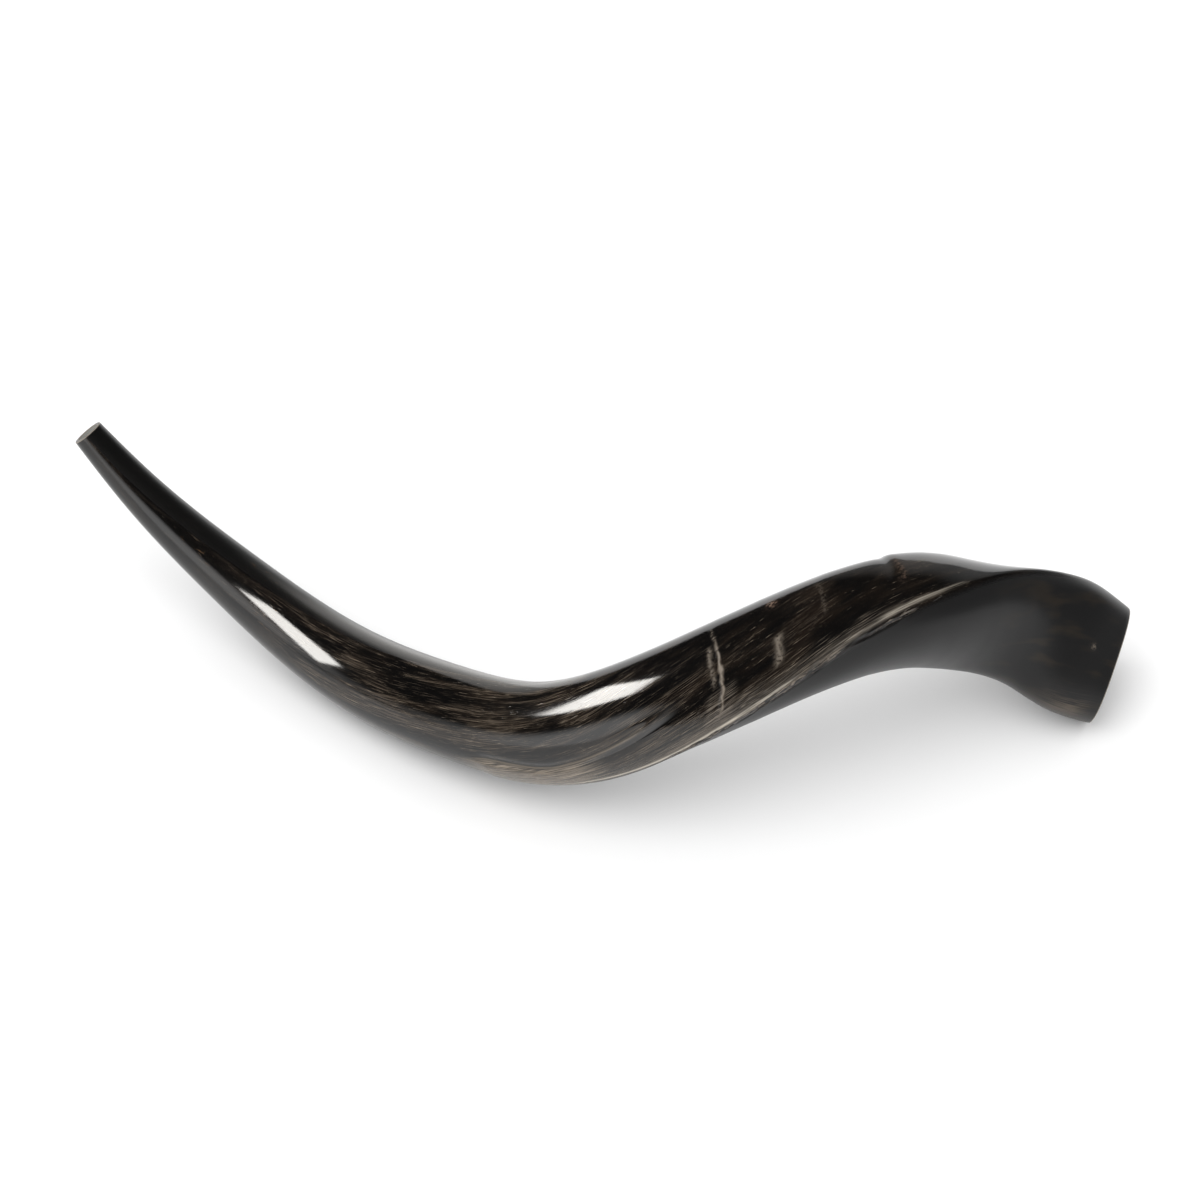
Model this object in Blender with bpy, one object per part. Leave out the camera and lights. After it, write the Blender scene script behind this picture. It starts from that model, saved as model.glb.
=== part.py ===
"""A polished spiral horn, cut square at both ends and bored through from the mouth end to the bell.

The horn is one grown piece. It is modelled in its own frame (x along the horn, "front" toward the
side that shows the keel, height up), then turned into the pose in which it lies still on a floor.
Lengths below are millimetres and angles degrees; the mesh itself is made in metres.
"""

import math
from typing import NamedTuple

import bmesh
import bpy
import numpy as np
from mathutils import Matrix, Vector

MM = 0.001


class Knot(NamedTuple):
    """One station of the horn's centre line, with the section there."""

    x: float  # along the horn, mouth end negative
    front: float  # toward the front
    height: float  # above the horn's middle
    radius: float  # radius of the round section, before the keel
    keel_angle: float  # where the keel points: 0 front, 90 up, -90 down
    keel_height: float  # how far the keel stands out
    facet: float  # 0 for a round section, 1 for the faceted one of the bell


KNOTS = (
    Knot(-305.5, 16.0, 100.0, 9.5, -190.0, 0.0, 0.00),
    Knot(-273.0, 5.0, 63.0, 13.0, -175.0, 0.0, 0.00),
    Knot(-216.0, 3.0, 11.0, 18.5, -158.0, 0.0, 0.00),
    Knot(-150.0, 18.0, -38.0, 24.0, -143.0, 0.8, 0.05),
    Knot(-90.0, 44.0, -64.5, 27.0, -125.0, 2.6, 0.08),
    Knot(-30.0, 72.0, -75.5, 28.0, -100.0, 4.6, 0.10),
    Knot(30.0, 93.0, -60.0, 30.5, -66.0, 4.6, 0.15),
    Knot(90.0, 98.0, -34.0, 32.5, -36.0, 4.6, 0.20),
    Knot(150.0, 84.0, -11.5, 34.0, -5.0, 4.6, 0.35),
    Knot(198.0, 56.0, -6.0, 35.0, 30.0, 4.8, 0.55),
    Knot(254.0, 20.0, -16.0, 33.5, 68.0, 5.2, 0.85),
    Knot(280.0, 6.0, -28.5, 36.5, 81.0, 4.6, 0.95),
    Knot(305.0, -6.0, -39.5, 34.0, 93.0, 2.0, 1.00),
)

# The bell's section is a polygon with rounded corners inside a circle. Each face is the angle of
# its outward direction from the keel, and its distance from the centre over the radius.
FACES = ((-87.0, 0.80), (48.0, 0.84), (124.0, 0.66))
CORNER_RATIO = 1.08  # radius of that circle, over the section's radius
FACET_POWER = 5.0  # higher gives tighter corners

KEEL_SPREAD_OVER = 24.0  # how the keel falls away on the side above it
KEEL_SPREAD_UNDER = 14.0  # and on the side below it
KEEL_ROUND = 3.0  # how blunt the crest is

# The saw cut of the bell isn't square to the centre line: it leans back at the front.
CUT_START = 0.80  # fraction of the length where the sections start to lean
CUT_FRONT = -0.40  # lean toward the front, as a slope
CUT_UP = -0.04  # lean upward, as a slope

BELL_WALL = 3.6  # wall thickness at the bell
BORE_RADIUS = 4.2  # drilled bore through the solid tip
CUP_RADIUS = 7.2  # mouth cup, at the end face
CUP_DEPTH = 15.0
CUP_FALL = 1.5  # power of the cup's curve: above 1 narrows fastest at the end face
HOLLOW_START = 0.12  # the natural hollow opens between these fractions of the length
HOLLOW_FULL = 0.52

OUTER_STATIONS = 66
INNER_STATIONS = 40
CUP_STATIONS = 5
CUP_SPAN = 0.022  # fraction of the length that the cup's stations cover
LINE_STEPS = 2001  # steps of the centre line when its length and slopes are read
AROUND = 40  # points around each section
CROWDING = 1.4  # above 1 puts more of them near the keel

# The resting pose: a turn about the front direction, then one about the length.
REST_ROLL = 2.9
REST_PITCH = 49.4


def natural_spline(knots: np.ndarray, at: np.ndarray) -> np.ndarray:
    """Every column of the knots as a natural cubic spline over chord length, at fractions 0 to 1."""
    steps = np.linalg.norm(np.diff(knots[:, :3], axis=0), axis=1)
    u = np.concatenate([[0.0], np.cumsum(steps)]) / steps.sum()
    h = np.diff(u)[:, None]
    count = len(u)
    system, right = np.eye(count), np.zeros_like(knots)
    for i in range(1, count - 1):
        system[i, i - 1:i + 2] = h[i - 1, 0], 2 * (h[i - 1, 0] + h[i, 0]), h[i, 0]
        right[i] = 6 * ((knots[i + 1] - knots[i]) / h[i] - (knots[i] - knots[i - 1]) / h[i - 1])
    bend = np.linalg.solve(system, right)
    j = np.clip(np.searchsorted(u, at) - 1, 0, count - 2)
    left, over, width = (u[j + 1] - at)[:, None], (at - u[j])[:, None], h[j]
    return (
        (bend[j] * left ** 3 + bend[j + 1] * over ** 3) / (6 * width)
        + (knots[j] / width - bend[j] * width / 6) * left
        + (knots[j + 1] / width - bend[j + 1] * width / 6) * over
    )


def facet_ratio(delta: np.ndarray) -> np.ndarray:
    """Radius of the faceted section over the round one, at angles from the keel."""
    total = np.full_like(delta, CORNER_RATIO ** -FACET_POWER)
    for angle, distance in FACES:
        total += (np.maximum(np.cos(np.radians(delta - angle)), 0.0) / distance) ** FACET_POWER
    return total ** (-1.0 / FACET_POWER)


def keel_ratio(delta: np.ndarray) -> np.ndarray:
    """Height of the keel over its crest, at angles from it in -180 to 180."""
    away = np.sqrt(delta ** 2 + KEEL_ROUND ** 2) - KEEL_ROUND
    spread = np.where(delta > 0, KEEL_SPREAD_OVER, KEEL_SPREAD_UNDER)
    return np.exp(-away / spread)


def bore_radius(depth: float) -> float:
    """Radius of the drilled bore at this depth from the mouth end: a cup that runs into a pipe."""
    into = max(0.0, 1.0 - depth / CUP_DEPTH)
    return BORE_RADIUS + (CUP_RADIUS - BORE_RADIUS) * into ** CUP_FALL


def horn_loops(fractions: np.ndarray, inner: bool) -> list:
    """The loops of points at these fractions of the length, on the outside or on the bore."""
    knots = np.array(KNOTS)
    knots[:, 1] *= -1.0  # the front is -Y
    fine = np.linspace(0.0, 1.0, LINE_STEPS)
    line = natural_spline(knots, fine)[:, :3]
    length = np.linalg.norm(np.diff(line, axis=0), axis=1).sum()
    slopes = np.gradient(line, axis=0)
    stations = natural_spline(knots, fractions)
    spot = np.linspace(-1.0, 1.0, AROUND, endpoint=False)
    delta = 180.0 * np.sign(spot) * np.abs(spot) ** CROWDING
    loops = []
    for fraction, station in zip(fractions, stations):
        centre = Vector(station[:3])
        along = Vector([np.interp(fraction, fine, slopes[:, k]) for k in range(3)]).normalized()
        front = Vector((0.0, -1.0, 0.0))
        front = (front - front.dot(along) * along).normalized()
        up = front.cross(along)
        radius, keel_angle, keel_height, facet = station[3:]
        facet, keel_height = max(facet, 0.0), max(keel_height, 0.0)
        reach = radius * (1.0 - facet + facet * facet_ratio(delta))
        if inner:
            hollow = np.clip((fraction - HOLLOW_START) / (HOLLOW_FULL - HOLLOW_START), 0.0, 1.0)
            hollow = hollow ** 2 * (3.0 - 2.0 * hollow)
            reach = bore_radius(fraction * length) * (1.0 - hollow) + (reach - BELL_WALL) * hollow
        else:
            reach = reach + keel_height * keel_ratio(delta)
        lean = max(0.0, (float(fraction) - CUT_START) / (1.0 - CUT_START)) ** 2
        loop = []
        for angle, r in zip(np.radians(keel_angle + delta), reach):
            to_front, to_up = float(r) * math.cos(angle), float(r) * math.sin(angle)
            slide = lean * (CUT_FRONT * to_front + CUT_UP * to_up)
            loop.append((centre + to_front * front + to_up * up + slide * along) * MM)
        loops.append(loop)
    return loops


def join_rings(bm: bmesh.types.BMesh, low: list, high: list) -> None:
    """Adds the faces between two rings that hold the same number of vertices."""
    count = len(low)
    for k in range(count):
        nxt = (k + 1) % count
        bm.faces.new((low[k], low[nxt], high[nxt], high[k]))


def add_skin(bm: bmesh.types.BMesh, loops: list) -> list:
    """Adds the loops and the faces between them; returns their vertices loop by loop."""
    rings = [[bm.verts.new(point) for point in loop] for loop in loops]
    for low, high in zip(rings, rings[1:]):
        join_rings(bm, low, high)
    return rings


def horn_mesh() -> bpy.types.Mesh:
    """The closed mesh of the horn, lying in its resting pose with the floor at z = 0."""
    outer = np.linspace(0.0, 1.0, OUTER_STATIONS)
    cup = np.linspace(0.0, CUP_SPAN, CUP_STATIONS)
    inner = np.concatenate([cup[:-1], np.linspace(CUP_SPAN, 1.0, INNER_STATIONS)])
    bm = bmesh.new()
    outside = add_skin(bm, horn_loops(outer, inner=False))
    bore = add_skin(bm, horn_loops(inner, inner=True))
    join_rings(bm, outside[0], bore[0])
    join_rings(bm, outside[-1], bore[-1])
    bmesh.ops.recalc_face_normals(bm, faces=bm.faces)
    turn = Matrix.Rotation(math.radians(-REST_PITCH), 4, "X")
    turn = turn @ Matrix.Rotation(math.radians(-REST_ROLL), 4, "Y")
    bmesh.ops.transform(bm, matrix=turn, verts=bm.verts)
    points = np.array([vert.co for vert in bm.verts])
    low, high = points.min(axis=0), points.max(axis=0)
    shift = Vector((-(low[0] + high[0]) / 2, -(low[1] + high[1]) / 2, -low[2]))
    bmesh.ops.translate(bm, vec=shift, verts=bm.verts)
    mesh = bpy.data.meshes.new("horn")
    bm.to_mesh(mesh)
    bm.free()
    return mesh


def horn_material() -> bpy.types.Material:
    """The near-black polished horn."""
    material = bpy.data.materials.new("polished_horn")
    material.use_nodes = True
    shader = material.node_tree.nodes["Principled BSDF"]
    shader.inputs["Base Color"].default_value = (0.012, 0.009, 0.007, 1.0)
    shader.inputs["Roughness"].default_value = 0.22
    return material


def main() -> None:
    """Clears the scene and adds the horn."""
    for obj in list(bpy.data.objects):
        bpy.data.objects.remove(obj)
    mesh = horn_mesh()
    mesh.materials.append(horn_material())
    bpy.context.scene.collection.objects.link(bpy.data.objects.new("horn", mesh))


main()
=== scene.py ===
"""The looks of the polished spiral horn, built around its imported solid.

The horn is one grown piece: its whole skin, from the mouth end over both saw cuts and back through
the bore, is swept by one node tree along a table of stations. Lengths inside the tables and the
node trees are millimetres unless a name says otherwise; positions handed to Blender are metres.
"""

import logging
import math
from dataclasses import dataclass, field
from enum import Enum
from functools import partial, reduce
from typing import Any, Callable, NamedTuple

import bpy
import numpy as np
from mathutils import Matrix, Vector


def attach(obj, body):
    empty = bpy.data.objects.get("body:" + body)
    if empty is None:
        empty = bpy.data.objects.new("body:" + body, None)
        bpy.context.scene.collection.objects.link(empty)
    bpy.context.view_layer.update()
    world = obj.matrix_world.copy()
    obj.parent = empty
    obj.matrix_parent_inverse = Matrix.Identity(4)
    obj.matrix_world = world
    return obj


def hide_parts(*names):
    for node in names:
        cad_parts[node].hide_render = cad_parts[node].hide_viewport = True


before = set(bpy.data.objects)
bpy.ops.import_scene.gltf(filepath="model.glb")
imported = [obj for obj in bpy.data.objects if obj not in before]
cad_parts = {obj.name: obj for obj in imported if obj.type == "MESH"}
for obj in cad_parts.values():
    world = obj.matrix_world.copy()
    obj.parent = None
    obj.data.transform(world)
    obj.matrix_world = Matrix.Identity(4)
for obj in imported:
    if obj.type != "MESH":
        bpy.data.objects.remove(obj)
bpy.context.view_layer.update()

MM = 0.001
LOG = logging.getLogger("horn")

Colour = tuple[float, float, float]


# ---- node trees


def operator(operation: str, swapped: bool = False) -> Callable[["Value", "Number"], "Value"]:
    """A Python operator that adds a Math node.

    Args:
        operation: the node's operation.
        swapped: whether the number stands first, as in 1 - mask.

    Returns:
        The method.
    """

    def method(this: "Value", other: "Number") -> "Value":
        """The node's result."""
        return this.tree.maths(operation, *((other, this) if swapped else (this, other)))

    return method


class Value:
    """One socket of a node tree. Python maths on it adds the nodes that work it out."""

    def __init__(self, tree: "Tree", socket: bpy.types.NodeSocket) -> None:
        """Keeps the tree, so that maths can add nodes to it."""
        self.tree = tree
        self.socket = socket

    __add__ = __radd__ = operator("ADD")
    __mul__ = __rmul__ = operator("MULTIPLY")
    __sub__, __rsub__ = operator("SUBTRACT"), operator("SUBTRACT", swapped=True)
    __truediv__, __rtruediv__ = operator("DIVIDE"), operator("DIVIDE", swapped=True)
    __pow__, __rpow__ = operator("POWER"), operator("POWER", swapped=True)
    __gt__, __lt__ = operator("GREATER_THAN"), operator("LESS_THAN")

    def __neg__(self) -> "Value":
        """The negative."""
        return self * -1.0

    def __abs__(self) -> "Value":
        """The size without its sign."""
        return self.tree.maths("ABSOLUTE", self)


Number = Value | float


class Tree:
    """A shader or geometry node tree with short ways to add nodes."""

    def __init__(self, nodes: bpy.types.NodeTree) -> None:
        """Wraps the tree and empties it."""
        self.nodes = nodes
        nodes.nodes.clear()

    def node(
        self, kind: str, sockets: dict | None = None, out: str | int = 0, **settings: Any
    ) -> Value:
        """Adds one node.

        Args:
            kind: the node's type.
            sockets: values or links for its inputs, by name, identifier or number.
            out: the output to hand back, by name, identifier or number.
            settings: the node's own properties, set before its sockets.

        Returns:
            The chosen output.
        """
        made = self.nodes.nodes.new(kind)
        for name, value in settings.items():
            setattr(made, name, value)
        for key, value in (sockets or {}).items():
            self.feed(self.find(made.inputs, key), value)
        return Value(self, self.find(made.outputs, out))

    def find(self, sockets: Any, key: str | int) -> bpy.types.NodeSocket | None:
        """Looks a socket up.

        Args:
            sockets: a node's inputs or outputs.
            key: its number, identifier or name; a number works for hidden twins too.

        Returns:
            The socket, or None where the node has none at all.
        """
        if isinstance(key, int):
            return sockets[key] if len(sockets) else None
        for socket in sockets:
            if socket.identifier == key:
                return socket
        return next(socket for socket in sockets if socket.name == key and socket.enabled)

    def feed(self, socket: bpy.types.NodeSocket, value: Any) -> None:
        """Links a Value into a socket or sets a constant on it; None leaves it as it is."""
        if isinstance(value, Value):
            self.nodes.links.new(value.socket, socket)
        elif value is not None:
            socket.default_value = value

    def maths(self, operation: str, *terms: Number) -> Value:
        """A Math node on one to three numbers."""
        return self.node("ShaderNodeMath", dict(enumerate(terms)), operation=operation)

    def vector_maths(self, operation: str, *terms: Any) -> Value:
        """A Vector Math node that gives a vector."""
        return self.node("ShaderNodeVectorMath", dict(enumerate(terms)), operation=operation)

    def scaled(self, vector: Value, factor: Number) -> Value:
        """A vector times a number."""
        return self.node("ShaderNodeVectorMath", {0: vector, "Scale": factor}, operation="SCALE")

    def split(self, vector: Value) -> tuple[Value, ...]:
        """The three numbers of a vector."""
        outputs = self.node("ShaderNodeSeparateXYZ", {0: vector}).socket.node.outputs
        return tuple(Value(self, socket) for socket in outputs)

    def joined(self, x: Number, y: Number, z: Number) -> Value:
        """A vector from three numbers."""
        return self.node("ShaderNodeCombineXYZ", {0: x, 1: y, 2: z})

    def smooth(
        self, value: Number, start: float, end: float, low: float = 0.0, high: float = 1.0
    ) -> Value:
        """A smooth rise from low at start to high at end; start may be the larger."""
        sockets = {"Value": value, "From Min": start, "From Max": end, "To Min": low, "To Max": high}
        return self.node("ShaderNodeMapRange", sockets, interpolation_type="SMOOTHSTEP")

    def hump(self, value: Number, centre: Number, width: Number) -> Value:
        """A soft bump of height 1 at the centre that falls to 0.37 one width away."""
        away = (value - centre) / width
        return self.maths("EXPONENT", -(away * away))

    def between(self, value: Number, low: float, high: float, soft: float) -> Value:
        """1 between two limits, fading over the soft distance outside each."""
        return self.smooth(value, low - soft, low) * self.smooth(value, high + soft, high)

    def noise(
        self, vector: Value, scale: tuple = (1.0, 1.0, 1.0), detail: float = 2.0, roughness: float = 0.5
    ) -> Value:
        """Noise around 0.5.

        Args:
            vector: the place.
            scale: what the place is multiplied by, for features about one unit across.
            detail: how many finer layers are added.
            roughness: how strong they are.

        Returns:
            The noise.
        """
        if scale != (1.0, 1.0, 1.0):
            vector = self.vector_maths("MULTIPLY", vector, scale)
        sockets = {"Vector": vector, "Scale": 1.0, "Detail": detail, "Roughness": roughness}
        return self.node("ShaderNodeTexNoise", sockets, out="Fac")

    def most(self, *terms: Number) -> Value:
        """The greatest of several numbers."""
        return reduce(partial(self.maths, "MAXIMUM"), terms)

    def bump(self, height: Value) -> Value:
        """A normal bent by a height in millimetres."""
        sockets = {"Height": height, "Distance": MM, "Strength": 1.0}
        return self.node("ShaderNodeBump", sockets, out="Normal")

    def principled(self, colour: Any, roughness: Number, **sockets: Any) -> Value:
        """A Principled shader.

        Args:
            colour: plain or worked out.
            roughness: its roughness.
            sockets: values for other sockets, by name with _ for a space.

        Returns:
            The shader.
        """
        named = {name.replace("_", " "): value for name, value in sockets.items()}
        given = {"Base Color": padded(colour), "Roughness": roughness, **named}
        return self.node("ShaderNodeBsdfPrincipled", given, out="BSDF")

    def attribute(self, name: str, out: str = "Fac") -> Value:
        """An attribute of the mesh, as a shader reads it."""
        return self.node("ShaderNodeAttribute", out=out, attribute_name=name)

    def surface(self, shader: Value) -> None:
        """Makes the shader the material's surface."""
        self.node("ShaderNodeOutputMaterial", {"Surface": shader})

    def mix(self, factor: Number, first: Any, second: Any) -> Value:
        """The first colour turning into the second as the factor goes from 0 to 1."""
        sockets = {"Factor_Float": factor, "A_Color": padded(first), "B_Color": padded(second)}
        return self.node("ShaderNodeMix", sockets, out="Result_Color", data_type="RGBA")

    def layered(self, colour: Any, *layers: tuple[Number, Any]) -> Any:
        """A colour with others laid over it.

        Args:
            colour: the ground.
            layers: how much of each colour, and the colour, from the lowest up.

        Returns:
            The colour that shows.
        """
        for amount, over in layers:
            colour = self.mix(amount, colour, over)
        return colour


def padded(colour: Any) -> Any:
    """A plain colour with its alpha added; anything else as it is."""
    return (*colour, 1.0) if isinstance(colour, tuple) else colour


def new_object(name: str, data: Any) -> bpy.types.Object:
    """A new object in the scene."""
    made = bpy.data.objects.new(name, data)
    bpy.context.scene.collection.objects.link(made)
    return made


def new_material(name: str) -> tuple[bpy.types.Material, Tree]:
    """A new material and its emptied node tree."""
    material = bpy.data.materials.new(name)
    material.use_nodes = True
    return material, Tree(material.node_tree)


# ---- the horn's rule


class Knot(NamedTuple):
    """One station of the horn's centre line, with the section there.

    Its place is x along the horn, front and height. The keel angle is 0 to the front and 90 up, and
    the facet is 0 for a round section and 1 for the bell's.
    """

    x: float
    front: float
    height: float
    radius: float
    keel_angle: float
    keel_height: float
    facet: float


class Span(NamedTuple):
    """A stretch between two limits, with soft ends outside them."""

    low: float
    high: float
    soft: float


class Rise(NamedTuple):
    """A smooth change from low to high while another number runs from start to end."""

    start: float
    end: float
    low: float = 0.0
    high: float = 1.0


KNOTS = (
    Knot(-305.5, 16.0, 100.0, 9.5, -190.0, 0.0, 0.00),
    Knot(-273.0, 5.0, 63.0, 13.0, -175.0, 0.0, 0.00),
    Knot(-216.0, 3.0, 11.0, 18.5, -158.0, 0.0, 0.00),
    Knot(-150.0, 18.0, -38.0, 24.0, -143.0, 0.8, 0.05),
    Knot(-90.0, 44.0, -64.5, 27.0, -125.0, 2.6, 0.08),
    Knot(-30.0, 72.0, -75.5, 28.0, -100.0, 4.6, 0.10),
    Knot(30.0, 93.0, -60.0, 30.5, -66.0, 4.6, 0.15),
    Knot(90.0, 98.0, -34.0, 32.5, -36.0, 4.6, 0.20),
    Knot(150.0, 84.0, -11.6, 35.0, -3.0, 4.9, 0.35),
    Knot(198.0, 56.0, -6.1, 35.8, 26.7, 4.1, 0.55),
    Knot(254.0, 20.0, -16.8, 33.7, 69.3, 6.6, 0.85),
    Knot(280.0, 6.0, -28.0, 37.1, 82.4, 4.6, 0.95),
    Knot(305.0, -6.0, -39.6, 34.6, 91.5, 1.6, 1.00),
)

# Features that both the shape and the finish follow. Travel is the distance along the horn from the
# mouth end. Rings are measured along the growth rings, which run ahead by the keel.
RING_LEAD = 22.0
RING_SPREAD = 32.0
SCAR_RING = 465.0
STEP_RING = 567.0
LIP_CREASE = Rise(318.0, 362.0, 61.0, 44.0)  # angle above the keel where its lip starts, by travel


@dataclass(frozen=True)
class RestingPose:
    """How the horn lies: a roll about its front direction, a pitch about its length, and a shift."""

    roll: float = 3.17
    pitch: float = 49.24
    shift: tuple[float, float, float] = (-0.10, 38.10, 43.32)

    def turn(self) -> Matrix:
        """The rotation from the horn's own frame into the frame in which it lies."""
        pitch = Matrix.Rotation(math.radians(-self.pitch), 3, "X")
        return pitch @ Matrix.Rotation(math.radians(-self.roll), 3, "Y")

    def place(self, point: tuple) -> Vector:
        """A point of the horn's own frame, in metres, in the frame in which it lies."""
        return self.turn() @ Vector(point) + Vector(self.shift) * MM


def natural_spline(knots: np.ndarray, at: np.ndarray) -> np.ndarray:
    """Every column of the knots as a natural cubic spline over chord length.

    Args:
        knots: one row for each knot; the first three columns are its position.
        at: fractions of the chord length, 0 to 1.

    Returns:
        One row of spline values for each fraction.
    """
    steps = np.linalg.norm(np.diff(knots[:, :3], axis=0), axis=1)
    u = np.concatenate([[0.0], np.cumsum(steps)]) / steps.sum()
    h = np.diff(u)[:, None]
    count = len(u)
    system, right = np.eye(count), np.zeros_like(knots)
    for i in range(1, count - 1):
        system[i, i - 1:i + 2] = h[i - 1, 0], 2 * (h[i - 1, 0] + h[i, 0]), h[i, 0]
        right[i] = 6 * ((knots[i + 1] - knots[i]) / h[i] - (knots[i] - knots[i - 1]) / h[i - 1])
    bend = np.linalg.solve(system, right)
    j = np.clip(np.searchsorted(u, at) - 1, 0, count - 2)
    left, over, width = (u[j + 1] - at)[:, None], (at - u[j])[:, None], h[j]
    return (
        (bend[j] * left ** 3 + bend[j + 1] * over ** 3) / (6 * width)
        + (knots[j] / width - bend[j] * width / 6) * left
        + (knots[j + 1] / width - bend[j + 1] * width / 6) * over
    )


class Region(Enum):
    """Which finish a row of faces has."""

    SKIN = 0
    CUT = 1
    BORE = 2


# ---- finishes

# Noise is about 0.5, so the two limits that a pattern is taken between, such as 0.44 and 0.60, set
# how much of the surface it covers and how soft its edges are.


class Streaks(NamedTuple):
    """Noise drawn out along the fibres: length and width of its features, and its finer layers."""

    long: float
    across: float
    detail: float = 2.0
    rough: float = 0.55


class Mark(NamedTuple):
    """A soft oval mark: its travel, its angle from the keel, and how far it reaches each way."""

    travel: float
    angle: float
    reach: float
    turn: float


class Arc(NamedTuple):
    """A mark along a growth ring: the ring, its width, and the angles from the keel that it spans."""

    ring: float
    width: float
    low: float
    high: float
    soft: float


class Coat:
    """What the polished skin's pattern is worked out from: places on the skin and shared noises."""

    warp: Streaks = Streaks(60.0, 14.0, 1.0)
    warp_reach: float = 2.4
    under_side: Rise = Rise(-1.0, -9.0)
    bell_start: Rise = Rise(560.0, 650.0)

    def __init__(self, tree: Tree) -> None:
        """Reads the skin's attributes and adds the shared noises.

        Args:
            tree: the skin's node tree.
        """
        self.tree = tree
        self.plain = tree.attribute("grain", "Vector")
        self.ring = tree.attribute("ring")
        self.travel, over, up = tree.split(self.plain)
        self.keel = tree.maths("ARCTAN2", up, over) * (180.0 / math.pi)
        warp = self.streaks(self.plain, self.warp) * self.warp_reach
        grain = tree.vector_maths("ADD", self.plain, tree.joined(0.0, warp, warp))
        self.fine = self.streaks(grain, Streaks(26.0, 0.44, 3.0, 0.62))
        self.hair = self.streaks(grain, Streaks(14.0, 0.28, 2.0, 0.6))
        self.dash = self.streaks(grain, Streaks(8.0, 0.50))
        self.patch = self.streaks(grain, Streaks(48.0, 7.0))
        self.cloud = self.streaks(self.plain, Streaks(34.0, 16.0))
        self.speck = self.streaks(self.plain, Streaks(1.9, 1.1, 2.0, 0.6))
        self.side = tree.smooth(self.keel, *self.under_side)
        self.bell = tree.smooth(self.travel, *self.bell_start)

    def streaks(self, grain: Value, kind: Streaks) -> Value:
        """Noise around 0.5, drawn out along the fibres."""
        scale = (1.0 / kind.long, 1.0 / kind.across, 1.0 / kind.across)
        return self.tree.noise(grain, scale, kind.detail, kind.rough)

    def over(self, *rise: float) -> Value:
        """A smooth change along the horn."""
        return self.tree.smooth(self.travel, *rise)

    def along(self, *span: float) -> Value:
        """1 on a stretch of the horn."""
        return self.tree.between(self.travel, *span)

    def around(self, *span: float) -> Value:
        """1 between two angles from the keel."""
        return self.tree.between(self.keel, *span)

    def spot(self, mark: Mark) -> Value:
        """1 in the middle of a mark, fading to 0."""
        along = self.tree.hump(self.travel, mark.travel, mark.reach)
        return along * self.tree.hump(self.keel, mark.angle, mark.turn)

    def arc(self, ring: Value, arc: Arc) -> Value:
        """1 along a mark, fading to 0 across it and at its ends."""
        return self.tree.hump(ring, arc.ring, arc.width) * self.around(arc.low, arc.high, arc.soft)


class Edge(NamedTuple):
    """Where the keel is worn: its frayed band, its lip's flank, its torn strip and the dashes there."""

    frayed: Value
    flank: Value
    torn: Value
    dashes: Value


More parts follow.
